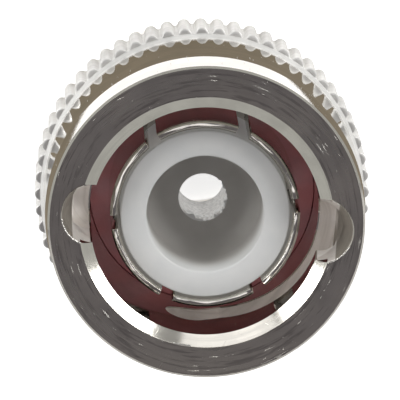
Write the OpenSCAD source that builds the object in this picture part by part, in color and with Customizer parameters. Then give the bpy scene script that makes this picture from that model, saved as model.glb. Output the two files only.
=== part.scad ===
// Bayonet coaxial cable plug (BNC pattern), standing on its cable end.
// The mating face looks up +Z, and the origin is on the axis at the foot of the clamp nut.
// Heights called "depth" are measured down from the coupling nut's front face.

/* [Coupling nut] */
// Diameter of the smooth front barrel
barrel_d = 13.6; // [13.2:0.1:13.8]
// Length of the smooth front barrel
barrel_len = 6.3; // [5.8:0.1:7]
// Diameter of the bore that takes the jack's barrel
nut_bore_d = 9.78; // [9.74:0.02:9.9]
// Width of the bevel round the bore's mouth
mouth_bevel_w = 0.49; // [0.3:0.01:0.6]
// Depth of the bevel round the bore's mouth
mouth_bevel_h = 0.32; // [0.2:0.01:0.5]
// Bevel on the front face's outer rim
rim_bevel = 0.15; // [0.05:0.01:0.25]
// Length of the inner rib at the back, which the nut pulls with
rib_len = 0.9; // [0.7:0.1:1.2]
// Diameter of the skirt behind the grip
skirt_d = 13; // [12.4:0.1:13.4]
// How far the skirt reaches past the retaining ring
ring_cover = 0.2; // [0.1:0.05:0.5]
// Radial room between the retaining ring and the skirt
ring_room = 0.25; // [0.1:0.05:0.3]
// Diameter that the skirt tapers to at its end
skirt_end_d = 12; // [11.6:0.1:12.4]

/* [Knurled grip] */
// Diameter over the grip's teeth
grip_d = 14.5; // [14.3:0.1:15]
// Length of the grip
grip_len = 2.7; // [2:0.1:3.2]
// Teeth round the grip
grip_teeth = 60; // [48:1:66]
// Height of each tooth
tooth_h = 0.25; // [0.15:0.05:0.3]
// Radius of each tooth's rounded crest
tooth_r = 0.29; // [0.26:0.01:0.34]
// Bevel on the teeth's two ends
tooth_bevel = 0.08; // [0.04:0.02:0.16]
// Length of the slope between the barrel and the teeth
grip_slope = 0.16; // [0.1:0.02:0.3]

/* [Bayonet cam] */
// Width of the cam groove, for the jack's 2 mm studs
cam_w = 2.1; // [2.06:0.02:2.3]
// Diameter of the cam groove's floor
cam_floor_d = 11.3; // [11.1:0.1:11.6]
// Angle that the nut turns from entry to lock
cam_turn = 92; // [84:1:96]
// Depth of the groove's centre line under the entry
cam_start = 2.15; // [1.9:0.05:2.3]
// Depth of the groove's centre line at its deepest
cam_deepest = 4.3; // [4:0.05:4.6]
// How far the lock pocket steps back towards the front
cam_detent = 0.25; // [0.1:0.05:0.3]
// Diameter of the lock pocket, a little wider than the groove
lock_d = 2.24; // [2.2:0.02:2.4]
// How much deeper the lock pocket is cut into the wall than the groove
lock_cut = 0.1; // [0.05:0.05:0.2]
// Share of the turn that climbs, before the lock pocket
cam_ramp_share = 0.84; // [0.75:0.01:0.9]
// Radius of the entry notches
entry_r = 1.3; // [1.25:0.01:1.35]
// Distance of the entry notches' centres from the axis
entry_offset = 4.78; // [4.6:0.02:4.84]
// Angle of the first entry notch from +X
entry_angle = -4; // [-10:1:10]
// Depth of the entry notches
entry_depth = 3.4; // [3.2:0.1:3.8]
// Width of the slope round the entry notches' floors
entry_slope = 0.43; // [0.2:0.01:0.5]
// Bevel round the entry notches' mouths
entry_bevel = 0.07; // [0.02:0.01:0.12]

/* [Plug body] */
// Diameter of the spring fingers
finger_d = 8.08; // [8.02:0.01:8.12]
// Wall of the spring fingers
finger_wall = 0.34; // [0.25:0.01:0.4]
// Depth of the finger tips
finger_depth = 1.8; // [1.5:0.1:2.2]
// Slits between the fingers
finger_count = 6; // [4:2:8]
// Width of each slit
slit_w = 0.6; // [0.4:0.05:0.8]
// Length of each slit
slit_len = 5; // [4:0.1:5]
// Depth of the bore inside the fingers, which the insulator's shoulder seats in
finger_bore_len = 5.1; // [5:0.1:5.6]
// Angle of the first slit from +X
slit_angle = 5; // [0:1:20]
// Bevel on the finger tips
tip_bevel = 0.1; // [0.05:0.01:0.15]
// Depth of the groove that holds the front gasket
gasket_groove = 0.19; // [0.16:0.01:0.25]
// Diameter of the flange that the spring pushes
flange_d = 9.6; // [9.4:0.05:9.64]
// Thickness of the flange
flange_len = 0.9; // [0.8:0.1:1.2]
// Diameter of the neck inside the nut's rib
neck_d = 8; // [7.8:0.05:8.1]
// Bore through the neck, for the insulator's spigot
neck_bore_d = 5.8; // [5.6:0.1:6]
// Diameter of the cable end of the body
barrel_end_d = 10.4; // [10:0.1:10.8]
// Width over the two wrench flats
flats_w = 9.4; // [9.2:0.1:9.8]
// Wall between the clamp's chamber and the neck
chamber_wall = 0.8; // [0.6:0.1:1.5]
// Bore of the chamber that holds the cable clamp
chamber_d = 8.3; // [8.2:0.1:8.5]
// Bevel on the body's outer edges
body_bevel = 0.25; // [0.1:0.05:0.4]

/* [Front gasket and insulator] */
// Depth of the front gasket's face
gasket_depth = 7.1; // [6.9:0.1:7.4]
// Thickness of the front gasket
gasket_len = 1.4; // [1.2:0.1:1.6]
// Depth of the insulator's front face
insulator_depth = 1.85; // [1.5:0.05:2.2]
// Radial gap between the insulator and the fingers
insulator_gap = 0.15; // [0.1:0.01:0.25]
// Bevel on the insulator's front edges
insulator_bevel = 0.08; // [0.04:0.02:0.16]
// Diameter of the socket in the insulator's front
socket_d = 5; // [4.8:0.05:5.2]
// Depth of that socket
socket_len = 3.5; // [3.2:0.1:5.3]
// Hole for the centre contact
contact_hole_d = 2.1; // [1.9:0.05:2.3]
// Length of the hole for the centre contact
contact_hole_len = 4.2; // [3.4:0.1:4.6]
// Recess behind that hole
recess_d = 4; // [3.6:0.1:4.2]

/* [Spring and retaining ring] */
// Travel of the nut against the wave washer
nut_travel = 0.5; // [0.3:0.05:0.6]
// Height of the wave washer when the nut has travelled
wave_pressed_h = 0.6; // [0.4:0.05:0.8]
// Thickness of the wave washer's strip
wave_t = 0.22; // [0.18:0.01:0.3]
// Waves round the wave washer
wave_count = 3; // [3:1:4]
// Thickness of the thrust washer
thrust_t = 0.4; // [0.3:0.05:0.5]
// Outer diameter of the two washers
washer_d = 9.5; // [9.3:0.05:9.56]
// Thickness of the retaining ring
ring_t = 0.45; // [0.35:0.05:0.5]
// Outer diameter of the retaining ring
ring_d = 9.5; // [9.3:0.1:9.7]
// Depth of the retaining ring's groove
ring_groove = 0.35; // [0.25:0.05:0.4]
// Opening in the retaining ring, as an angle
ring_gap_angle = 50; // [30:5:70]

/* [Cable clamp] */
// Diameter of the cable that the plug takes
cable_d = 6.6; // [6:0.1:6.8]
// Clearance round the cable, on the diameter
cable_gap = 0.4; // [0.2:0.1:0.5]
// Bore of the braid clamp, over the cable's braid
braid_bore_d = 4.8; // [4.4:0.1:5]
// Length of the braid clamp
braid_clamp_len = 1.5; // [1.3:0.1:1.7]
// Depth of the braid clamp's seat for the cable's jacket
jacket_seat = 0.7; // [0.5:0.1:0.9]
// Height of the braid clamp's sharp ridge
ridge_h = 0.2; // [0.1:0.05:0.2]
// Length of the cable gasket
cable_gasket_len = 1.3; // [1.1:0.1:1.5]
// Thickness of the slip washer
slip_washer_t = 0.3; // [0.2:0.05:0.4]
// How much wider the slip washer's bore is than the cable's entry, on the radius
slip_room = 0.2; // [0.16:0.02:0.3]
// Length of the clamp nut's threaded spigot
clamp_thread_len = 1.9; // [1.6:0.1:2.6]
// Length of the clamp nut's hexagonal head
clamp_head_len = 3.4; // [3:0.1:4]
// Width of the clamp nut's head over its flats
clamp_hex_w = 9; // [8.8:0.1:9.4]
// Bevel on the head's corners
clamp_bevel = 0.35; // [0.2:0.05:0.5]
// Countersink round the cable's entry
entry_sink = 0.3; // [0.2:0.05:0.4]

/* [Fits] */
// Radial clearance of parts that turn or slide on each other
run_gap = 0.05; // [0.03:0.01:0.08]
// Radial clearance of parts that are pressed or screwed together
seat_gap = 0.02; // [0.01:0.01:0.04]
// Clearance between the nut's end and the body behind it
end_gap = 0.3; // [0.2:0.05:0.5]

/* [Hidden] */

$fn = 96;
// Overshoot of every cut beyond the face that it opens
cut = 0.5;

// Inner radius of everything that is cut outward from the nut's bore
bore_void_r = (finger_d + nut_bore_d) / 4;

// Lengths that follow from the pieces stacked inside
wave_h = wave_pressed_h + nut_travel;
nut_len = gasket_depth + gasket_len + flange_len + wave_h + thrust_t + rib_len + run_gap + ring_t
        + ring_cover;
barrel_end_len = clamp_thread_len + slip_washer_t + cable_gasket_len + braid_clamp_len
               + chamber_wall;

// Heights of the stack, from the foot up
body_foot_z = clamp_head_len;
slip_washer_z = body_foot_z + clamp_thread_len;
cable_gasket_z = slip_washer_z + slip_washer_t;
braid_clamp_z = cable_gasket_z + cable_gasket_len;
chamber_z = braid_clamp_z + braid_clamp_len;
body_shoulder_z = body_foot_z + barrel_end_len;
nut_foot_z = body_shoulder_z + end_gap;
face_z = nut_foot_z + nut_len;

// Heights of the stack, from the front face down
finger_tip_z = face_z - finger_depth;
insulator_z = face_z - insulator_depth;
gasket_z = face_z - gasket_depth;
flange_front_z = gasket_z - gasket_len;
flange_back_z = flange_front_z - flange_len;
thrust_front_z = flange_back_z - wave_h;
rib_front_z = thrust_front_z - thrust_t;
rib_back_z = rib_front_z - rib_len;
ring_z = rib_back_z - run_gap - ring_t;
grip_front_z = face_z - barrel_len;
grip_back_z = grip_front_z - grip_len;
socket_floor_z = insulator_z - socket_len;
contact_hole_z = socket_floor_z - contact_hole_len;
insulator_shoulder_z = finger_tip_z - finger_bore_len;

// Diameters and radii that follow from two pieces
finger_bore_d = finger_d - 2 * finger_wall;
insulator_d = finger_bore_d - 2 * insulator_gap;
gasket_seat_r = finger_d / 2 - gasket_groove;
rib_r = neck_d / 2 + run_gap;
washer_bore_r = neck_d / 2 + run_gap;
gasket_r = nut_bore_d / 2 - run_gap;
ring_bore_r = neck_d / 2 - ring_groove + run_gap;
ring_pocket_r = ring_d / 2 + ring_room;
cable_bore_r = (cable_d + cable_gap) / 2;
slip_bore_r = cable_bore_r + slip_room;
jacket_seat_r = cable_bore_r - run_gap;
cable_gasket_r = cable_d / 2;
clamp_part_r = chamber_d / 2 - run_gap;
clamp_thread_r = chamber_d / 2 - seat_gap;
ridge_r = (cable_bore_r + clamp_part_r) / 2;

// Turned shape: the outline's points are [radius, height]
module turned(outline) {
    rotate_extrude() polygon(outline);
}

// Flat ring from height z up
module flat_ring(r_in, r_out, t, z) {
    turned([[r_in, z], [r_out, z], [r_out, z + t], [r_in, z + t]]);
}

// ---------------------------------------------------------------- coupling nut

// Outside and bore of the nut, without its grip and cams
module nut_blank() {
    turned([
        [nut_bore_d / 2 + mouth_bevel_w, face_z],
        [barrel_d / 2 - rim_bevel, face_z],
        [barrel_d / 2, face_z - rim_bevel],
        [barrel_d / 2, grip_back_z + grip_slope],
        [skirt_d / 2, grip_back_z - grip_slope],
        [skirt_end_d / 2, nut_foot_z + rim_bevel],
        [skirt_end_d / 2 - rim_bevel, nut_foot_z],
        [ring_pocket_r, nut_foot_z],
        [ring_pocket_r, rib_back_z],
        [rib_r, rib_back_z],
        [rib_r, rib_front_z],
        [nut_bore_d / 2, rib_front_z],
        [nut_bore_d / 2, face_z - mouth_bevel_h]
    ]);
}

// Band of straight rounded teeth, bevelled at both ends, that joins the nut's wall
module grip() {
    crest_r = grip_d / 2;
    root_r = crest_r - tooth_h;
    inner_r = (nut_bore_d + barrel_d) / 4;
    slope_z = grip_front_z + grip_slope;
    intersection() {
        translate([0, 0, grip_back_z]) linear_extrude(grip_len + grip_slope) union() {
            circle(root_r);
            for (i = [0 : grip_teeth - 1])
                rotate(360 * i / grip_teeth)
                    translate([crest_r - tooth_r, 0]) circle(tooth_r, $fn = 24);
        }
        turned([
            [inner_r, grip_back_z],
            [crest_r - tooth_bevel, grip_back_z],
            [crest_r, grip_back_z + tooth_bevel],
            [crest_r, grip_front_z - tooth_bevel],
            [crest_r - tooth_bevel, grip_front_z],
            [root_r, grip_front_z],
            [barrel_d / 2, slope_z],
            [inner_r, slope_z]
        ]);
    }
}

// Notch that lets one of the jack's studs in at the face
module entry_notch() {
    translate([entry_offset, 0, 0]) {
        translate([0, 0, face_z - entry_depth + entry_slope])
            cylinder(r = entry_r, h = entry_depth - entry_slope + cut);
        translate([0, 0, face_z - entry_depth])
            cylinder(r1 = entry_r - entry_slope, r2 = entry_r, h = entry_slope);
        translate([0, 0, face_z - entry_bevel])
            cylinder(r1 = entry_r, r2 = entry_r + entry_bevel + cut, h = entry_bevel + cut);
    }
}

// Depth of the cam's centre line at a share u of the turn
function cam_depth(u) =
    u < cam_ramp_share
        ? cam_start + (cam_deepest - cam_start) * u / cam_ramp_share
        : cam_deepest - cam_detent * (u - cam_ramp_share) / (1 - cam_ramp_share);

// Four corners of the cam groove's section at a share u of the turn
function cam_section(u) =
    let (a = -cam_turn * u, z = face_z - cam_depth(u), r0 = bore_void_r, r1 = cam_floor_d / 2)
    [for (c = [[r0, -1], [r1, -1], [r1, 1], [r0, 1]])
        [c[0] * cos(a), c[0] * sin(a), z + c[1] * cam_w / 2]];

// Blind groove in the bore's wall, from the notch round to the lock pocket
module cam_groove() {
    steps = 25;
    corners = [for (i = [0 : steps]) each cam_section(i / steps)];
    sides = [for (i = [0 : steps - 1], j = [0 : 3])
        let (k = (j + 1) % 4, p = 4 * i)
        each [[p + j, p + 4 + j, p + k], [p + k, p + 4 + j, p + 4 + k]]];
    last = 4 * steps;
    ends = [[0, 1, 2], [0, 2, 3], [last + 2, last + 1, last], [last + 3, last + 2, last]];
    polyhedron(corners, concat(sides, ends), convexity = 6);
}

// Round lock pocket at the end of the cam groove
module lock_pocket() {
    rotate(-cam_turn) translate([0, 0, face_z - cam_depth(1)]) rotate([0, 90, 0])
        translate([0, 0, bore_void_r])
            cylinder(d = lock_d, h = cam_floor_d / 2 + lock_cut - bore_void_r);
}

module coupling_nut() {
    color([0.72, 0.71, 0.69]) union() {
        difference() {
            nut_blank();
            for (side = [0, 180]) rotate(entry_angle + side) {
                entry_notch();
                cam_groove();
                lock_pocket();
            }
        }
        grip();
    }
}

// ------------------------------------------------------------------ plug body

module plug_body() {
    groove_r = neck_d / 2 - ring_groove;
    color([0.78, 0.77, 0.74]) difference() {
        turned([
            [finger_bore_d / 2 + tip_bevel, finger_tip_z],
            [finger_d / 2 - tip_bevel, finger_tip_z],
            [finger_d / 2, finger_tip_z - tip_bevel],
            [finger_d / 2, gasket_z],
            [gasket_seat_r, gasket_z],
            [gasket_seat_r, flange_front_z],
            [flange_d / 2, flange_front_z],
            [flange_d / 2, flange_back_z],
            [neck_d / 2, flange_back_z],
            [neck_d / 2, rib_back_z - run_gap / 2],
            [groove_r, rib_back_z - run_gap / 2],
            [groove_r, ring_z - run_gap / 2],
            [neck_d / 2, ring_z - run_gap / 2],
            [neck_d / 2, body_shoulder_z],
            [barrel_end_d / 2 - body_bevel, body_shoulder_z],
            [barrel_end_d / 2, body_shoulder_z - body_bevel],
            [barrel_end_d / 2, body_foot_z + body_bevel],
            [barrel_end_d / 2 - body_bevel, body_foot_z],
            [chamber_d / 2, body_foot_z],
            [chamber_d / 2, chamber_z],
            [neck_bore_d / 2, chamber_z],
            [neck_bore_d / 2, insulator_shoulder_z],
            [finger_bore_d / 2, insulator_shoulder_z],
            [finger_bore_d / 2, finger_tip_z - tip_bevel]
        ]);
        for (i = [0 : finger_count / 2 - 1])
            rotate(slit_angle + 360 * i / finger_count)
                translate([-finger_d, -slit_w / 2, finger_tip_z - slit_len])
                    cube([2 * finger_d, slit_w, slit_len + cut]);
        for (side = [90, 270]) rotate(side)
            translate([flats_w / 2, -barrel_end_d / 2, body_foot_z - cut])
                cube([barrel_end_d, barrel_end_d, barrel_end_len - 2 * body_bevel + cut]);
    }
}

// ------------------------------------------------------- gasket and insulator

module front_gasket() {
    color([0.36, 0.16, 0.17])
        flat_ring(gasket_seat_r + seat_gap, gasket_r, gasket_len, flange_front_z);
}

module front_insulator() {
    spigot_r = neck_bore_d / 2 - seat_gap;
    color([0.93, 0.93, 0.91]) turned([
        [socket_d / 2 + insulator_bevel, insulator_z],
        [insulator_d / 2 - insulator_bevel, insulator_z],
        [insulator_d / 2, insulator_z - insulator_bevel],
        [insulator_d / 2, insulator_shoulder_z],
        [spigot_r, insulator_shoulder_z],
        [spigot_r, chamber_z],
        [recess_d / 2, chamber_z],
        [recess_d / 2, contact_hole_z],
        [contact_hole_d / 2, contact_hole_z],
        [contact_hole_d / 2, socket_floor_z],
        [socket_d / 2, socket_floor_z],
        [socket_d / 2, insulator_z - insulator_bevel]
    ]);
}

// --------------------------------------------------- spring and retaining ring

// Four corners of the wave washer's strip at angle a
function wave_section(a) =
    let (swing = (wave_h - wave_t) / 2, z = (thrust_front_z + flange_back_z) / 2
                                            + swing * sin(wave_count * a))
    [for (c = [[washer_bore_r, -1], [washer_d / 2, -1], [washer_d / 2, 1], [washer_bore_r, 1]])
        [c[0] * cos(a), c[0] * sin(a), z + c[1] * wave_t / 2]];

// Strip that waves up and down round the neck
module wave_washer() {
    steps = 72;
    corners = [for (i = [0 : steps - 1]) each wave_section(360 * i / steps)];
    sides = [for (i = [0 : steps - 1], j = [0 : 3])
        let (k = (j + 1) % 4, p = 4 * i, q = 4 * ((i + 1) % steps))
        each [[p + j, q + j, p + k], [p + k, q + j, q + k]]];
    color([0.62, 0.6, 0.55]) polyhedron(corners, sides, convexity = 8);
}

module thrust_washer() {
    color([0.7, 0.7, 0.68])
        flat_ring(washer_bore_r, washer_d / 2, thrust_t, rib_front_z);
}

// Open ring in the neck's groove that stops the nut's rib
module retaining_ring() {
    color([0.45, 0.45, 0.46]) difference() {
        flat_ring(ring_bore_r, ring_d / 2, ring_t, ring_z);
        translate([0, 0, ring_z - cut]) linear_extrude(ring_t + 2 * cut) polygon([
            [0, 0],
            [ring_d * cos(ring_gap_angle / 2), -ring_d * sin(ring_gap_angle / 2)],
            [ring_d * cos(ring_gap_angle / 2), ring_d * sin(ring_gap_angle / 2)]
        ]);
    }
}

// ---------------------------------------------------------------- cable clamp

// Ring that the cable's braid is folded over, with a sharp ridge at its back
module braid_clamp() {
    color([0.76, 0.72, 0.6]) turned([
        [braid_bore_d / 2, chamber_z],
        [clamp_part_r, chamber_z],
        [clamp_part_r, braid_clamp_z],
        [ridge_r + ridge_h, braid_clamp_z],
        [ridge_r, braid_clamp_z - ridge_h],
        [ridge_r - ridge_h, braid_clamp_z],
        [jacket_seat_r, braid_clamp_z],
        [jacket_seat_r, braid_clamp_z + jacket_seat],
        [braid_bore_d / 2, braid_clamp_z + jacket_seat]
    ]);
}

// Rubber ring that is squeezed round the cable, with a groove for the ridge
module cable_gasket() {
    groove = ridge_h + run_gap;
    color([0.1, 0.1, 0.1]) turned([
        [cable_gasket_r, braid_clamp_z],
        [ridge_r - groove, braid_clamp_z],
        [ridge_r, braid_clamp_z - groove],
        [ridge_r + groove, braid_clamp_z],
        [clamp_part_r, braid_clamp_z],
        [clamp_part_r, cable_gasket_z],
        [cable_gasket_r, cable_gasket_z]
    ]);
}

module slip_washer() {
    color([0.7, 0.68, 0.6])
        flat_ring(slip_bore_r, clamp_part_r, slip_washer_t, slip_washer_z);
}

// Hexagonal nut whose spigot screws into the body and squeezes the gasket
module clamp_nut() {
    corner_r = clamp_hex_w / 2 / cos(30);
    color([0.72, 0.71, 0.69]) difference() {
        union() {
            intersection() {
                cylinder(r = corner_r, h = clamp_head_len, $fn = 6);
                turned([
                    [0, 0],
                    [corner_r - clamp_bevel, 0],
                    [corner_r, clamp_bevel / 2],
                    [corner_r, clamp_head_len - clamp_bevel / 2],
                    [corner_r - clamp_bevel, clamp_head_len],
                    [0, clamp_head_len]
                ]);
            }
            cylinder(r = clamp_thread_r, h = slip_washer_z);
        }
        translate([0, 0, -cut]) cylinder(r = cable_bore_r, h = slip_washer_z + 2 * cut);
        translate([0, 0, -cut])
            cylinder(r1 = cable_bore_r + entry_sink + cut, r2 = cable_bore_r,
                     h = entry_sink + cut);
    }
}

coupling_nut();
plug_body();
front_gasket();
front_insulator();
wave_washer();
thrust_washer();
retaining_ring();
braid_clamp();
cable_gasket();
slip_washer();
clamp_nut();
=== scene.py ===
"""Looks of a bayonet coaxial cable plug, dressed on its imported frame. Lengths are in metres."""

import math
import random

import bmesh
import bpy
from mathutils import Matrix, Vector


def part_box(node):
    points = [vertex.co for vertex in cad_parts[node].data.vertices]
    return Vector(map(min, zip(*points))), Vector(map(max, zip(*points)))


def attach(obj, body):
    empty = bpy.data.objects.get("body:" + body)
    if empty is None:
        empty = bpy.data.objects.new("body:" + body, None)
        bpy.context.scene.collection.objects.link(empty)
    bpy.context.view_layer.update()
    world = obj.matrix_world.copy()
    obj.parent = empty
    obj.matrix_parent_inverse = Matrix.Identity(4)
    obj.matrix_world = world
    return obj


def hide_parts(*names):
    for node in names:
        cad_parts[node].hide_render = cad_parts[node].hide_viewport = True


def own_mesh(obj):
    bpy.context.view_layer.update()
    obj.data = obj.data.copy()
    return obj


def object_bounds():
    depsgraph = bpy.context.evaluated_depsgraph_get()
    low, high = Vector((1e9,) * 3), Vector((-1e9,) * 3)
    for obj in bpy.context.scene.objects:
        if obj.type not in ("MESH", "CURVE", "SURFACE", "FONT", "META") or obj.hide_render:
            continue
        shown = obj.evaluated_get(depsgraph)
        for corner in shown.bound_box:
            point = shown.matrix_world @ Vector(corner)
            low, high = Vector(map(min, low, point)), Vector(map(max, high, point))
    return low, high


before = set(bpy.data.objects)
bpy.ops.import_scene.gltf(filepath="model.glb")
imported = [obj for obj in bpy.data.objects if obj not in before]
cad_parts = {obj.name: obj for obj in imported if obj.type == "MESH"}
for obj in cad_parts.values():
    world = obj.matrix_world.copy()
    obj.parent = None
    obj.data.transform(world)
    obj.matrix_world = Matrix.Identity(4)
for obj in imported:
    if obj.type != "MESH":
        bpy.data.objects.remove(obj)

MM = 0.001

BOX_LOW, BOX_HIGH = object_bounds()
NUT_LOW, NUT_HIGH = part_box("coupling_nut")
FACE = Vector((0, 0, NUT_HIGH.z))

# Camera: it looks into the mating face from a little above
CAMERA_AWAY = 200 * MM
CAMERA_BACK = Vector((-0.03, 0.207, 0.978)).normalized()
CAMERA_LENS = 428
CAMERA_SENSOR = 36
CAMERA_CLIP = (1 * MM, 10)
CAMERA_AIM_RIGHT = -0.277 * MM
CAMERA_AIM_UP = 0.971 * MM

# Meshes: vertices closer than WELD are one, and edges sharper than EDGE_ANGLE stay sharp
WELD = 0.0004 * MM
FLAT_WITHIN = math.radians(0.5)
EDGE_ANGLE = math.radians(28)
TURNED_WITHIN = 0.004 * MM
TURNED_SIDEWAYS = 0.03

# The coupling nut's turned section
BORE_R = 4.89 * MM
MOUTH_BEVEL_W = 0.49 * MM
MOUTH_BEVEL_H = 0.32 * MM
RIM_BEVEL = 0.09 * MM
NOSE_R = 6.695 * MM
NOSE_LEN = 1.8 * MM
BARREL_R = 6.8 * MM
BARREL_LEN = 6.3 * MM
FLARE_FROM = 2.2 * MM
FLARE_GAIN = 0.1 * MM
FLARE_STEPS = 24
COLLAR_LEN = 0.3 * MM
COLLAR_R = 7.0 * MM
COLLAR_GROOVE = 0.02 * MM
COLLAR_TOP = 0.47 * COLLAR_LEN
COLLAR_DIP = 0.37 * COLLAR_LEN
COLLAR_STEP = 0.2 * COLLAR_LEN
SKIRT_R = 6.5 * MM
SKIRT_END_R = 6.0 * MM
SKIRT_STEP = 0.1 * MM
RING_POCKET_R = 5.0 * MM
RING_ROOM = 0.05 * MM
RIB_R = 4.05 * MM
NUT_STEPS = 288

# The nut's grip
GRIP_LEN = 2.7 * MM
GRIP_TEETH = 60
GRIP_SINK = 0.3 * MM
KNURL_R = 7.25 * MM
KNURL_ROOT_R = 7.0 * MM
TOOTH_R = 0.29 * MM
TOOTH_SOFT = 0.05 * MM
TOOTH_STEPS = 16
TOOTH_END_STEPS = 6

# Bayonet cams: two entry notches, each with a groove that ends in a lock pocket
NOTCH_ANGLE = math.radians(-4.5)
NOTCH_OFFSET = 4.8 * MM
NOTCH_REACH_RIGHT = 6.19 * MM
NOTCH_REACH_LEFT = 6.1 * MM
NOTCH_LEN = 2.2 * MM
RIM_CHAMFER = 0.06 * MM
CAM_START = 2.25 * MM
CAM_DEEPEST = 4.3 * MM
CAM_DETENT = 0.25 * MM
CAM_HALF = 1.05 * MM
CAM_CORNER = 0.1 * MM
CAM_FLOOR_R = 5.65 * MM
CAM_TURN = math.radians(92)
CAM_LEVEL = 0.16
CAM_CLIMBED = 0.84
CAM_STEPS = 90
LOCK_R = 1.12 * MM
LOCK_CUT = 0.1 * MM
CUT_FROM_R = 4.5 * MM
CUT_ABOVE = 0.5 * MM
CUT_EASE = 0.01 * MM
CUT_STEPS = 64
CUT_CORNER_STEPS = 6

# Burrs and nicks: threads of metal, fine or ragged, each with its least and greatest thickness
BURR_FINE = (0.01 * MM, 0.015 * MM)
BURR_RAGGED = (0.02 * MM, 0.06 * MM)
BURR_STEP = 0.035 * MM
BURR_SIDES = 6
BURR_SINK = 1.05
BURR_INSET = 0.5
BURR_LEAST_STEPS = 8
BURR_LEAN = 0.25
BURR_SEED = 11

# Gasket and insulator
GASKET_R = 4.88 * MM
GASKET_BORE_R = 3.88 * MM
GASKET_EDGE = 0.015 * MM
GASKET_STEPS = 192
INSULATOR_R = 3.6 * MM
INSULATOR_EDGE_ANGLE = math.radians(50)
INSULATOR_STEPS = 240
SPIGOT_R = 2.88 * MM
SHOULDER_Z = 15.1 * MM
SOFT_EDGE = 0.07 * MM
SOCKET_R = 2.5 * MM
SOCKET_LEN = 3.5 * MM
SOCKET_FILLET = 0.9 * MM
SOCKET_FILLET_STEPS = 8
HOLE_R = 1.05 * MM
HOLE_LEN = 4.2 * MM
HOLE_LEAD = 0.1 * MM
RECESS_R = 2.0 * MM

# The contact hole's wall: how ragged it is at each depth under the socket's floor
HOLE_LEAD_RAG = 0.3
HOLE_RAGS = ((0.02 * MM, 1), (0.1 * MM, 0.9), (0.16 * MM, 0.2), (0.5 * MM, -0.8),
             (0.9 * MM, 0.6), (1.4 * MM, 0))
TEAR_ANGLE = math.radians(-35)
TEAR_DEPTH = 0.11 * MM
TEAR_INSET = 0.35
TEAR_WAVES = ((0.45, 9, 0.7), (0.35, 17, 2.1), (0.3, 31, 4.0))  # size, number, phase
CHIP_ANGLE = math.radians(-120)
CHIP_WIDTH = 0.24
CHIP_DEPTH = -0.2 * MM

# The plug body's rounded edges
BODY_EDGE = 0.04 * MM
BODY_EDGE_STEPS = 2

# Plating: colours, roughness, and the marks of the lathe
NICKEL_COLOUR = (0.68, 0.65, 0.6)
BODY_COLOUR = (0.7, 0.67, 0.62)
WASHER_COLOUR = (0.72, 0.66, 0.5)
SPRING_COLOUR = (0.55, 0.54, 0.52)
BURR_COLOUR = (0.9, 0.88, 0.84)
BODY_ROUGH = 0.12
CLAMP_ROUGH = 0.2
DULL_ROUGH = 0.25  # washers, spring and burrs
MARK_DEPTH = 0.0004 * MM
MARK_STRENGTH = 0.5
FINE_PITCH, FINE_ARC = 0.05 * MM, 0.5
BROAD_PITCH, BROAD_ARC = 0.3 * MM, 1.2
BROAD_RANGE = (0.45, 0.75)
BROAD_ROUGH = (0.8, 1.25)
HAZE_SIZE = 1.5 * MM
HAZE_RANGE = (0.35, 0.7)
SHADE = 0.15
SCRATCH_DEPTH = 0.003 * MM
SCRATCH_ROUGH = 0.05
SCRATCH_COVER = (0.78, 0.82)
SCRATCHES = ((1.6 * MM, 0.03 * MM, 0.5), (1.1 * MM, 0.025 * MM, 2.2))  # length, width, angle

# The nut's finish, part by part. The milled cams carry painted light and painted shade: a brightened
# colour and a glow on their ledges, and a darker brown on their walls.
BRIGHT_ROUGH = 0.02
FACE_ROUGH = 0.24
KNURL_ROUGH = 0.5
KNURL_COLOUR = (0.8, 0.79, 0.77)
MILLED_ROUGH = 0.62
MILLED_PAINTED_LIGHT_COLOUR = (0.95, 0.92, 0.88)
WALL_PAINTED_SHADE = (0.5, 0.46, 0.41)
LEDGE_PAINTED_LIGHT_COLOUR = (1.0, 0.88, 0.82)
LEDGE_PAINTED_LIGHT = 0.07
BEVEL_ROUGH = 0.13

# The worn, turned face of the nut
ARC_PITCH, ARC_LEN = 0.15 * MM, 0.35
ARC_RANGE = (0.52, 0.64)
ARC_COLOUR, ARC_SHARE = (0.26, 0.24, 0.23), 0.5
STROKE_PITCH, STROKE_LEN = 0.08 * MM, 0.2
DARK_RANGE = (0.4, 0.32)
DARK_COLOUR, DARK_SHARE = (0.2, 0.19, 0.18), 0.6
LIGHT_RANGE = (0.63, 0.71)
LIGHT_COLOUR, LIGHT_SHARE = (0.98, 0.96, 0.92), 0.35
PATCH_SIZE = 1.8 * MM
PATCH_RANGE = (0.46, 0.6)
WARM_SIZE = 2.8 * MM
WARM_RANGE = (0.44, 0.58)
WARM_PATCHES = 0.45
WARM_COLOUR, WARM_SHARE = (0.92, 0.87, 0.76), 0.5
# Over this range of y the face turns warmer and lighter towards −y
WARM_SIDE = (-3.5 * MM, -6.5 * MM)
NICK_SIZE = 0.16 * MM
NICK_RANGE = (0.8, 0.83)
NICK_DEPTH = 0.01 * MM
NICK_STRENGTH = 0.7
NICK_ROUGH = 0.12

# Rubber and plastic
CLOUD_RANGE = (0.3, 0.7)
RUBBER_CLOUD = 0.8 * MM
RUBBER_GRAIN = 0.08 * MM
RUBBER_DEPTH = 0.01 * MM
RUBBER_STRENGTH = 0.4
RED_COLOURS, RED_ROUGH = ((0.28, 0.06, 0.066), (0.35, 0.082, 0.085)), (0.42, 0.55)
BLACK_COLOURS, BLACK_ROUGH = ((0.012, 0.012, 0.012), (0.025, 0.024, 0.023)), (0.5, 0.65)
PTFE_WHITES = ((0.77, 0.78, 0.775), (0.81, 0.815, 0.805))
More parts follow.
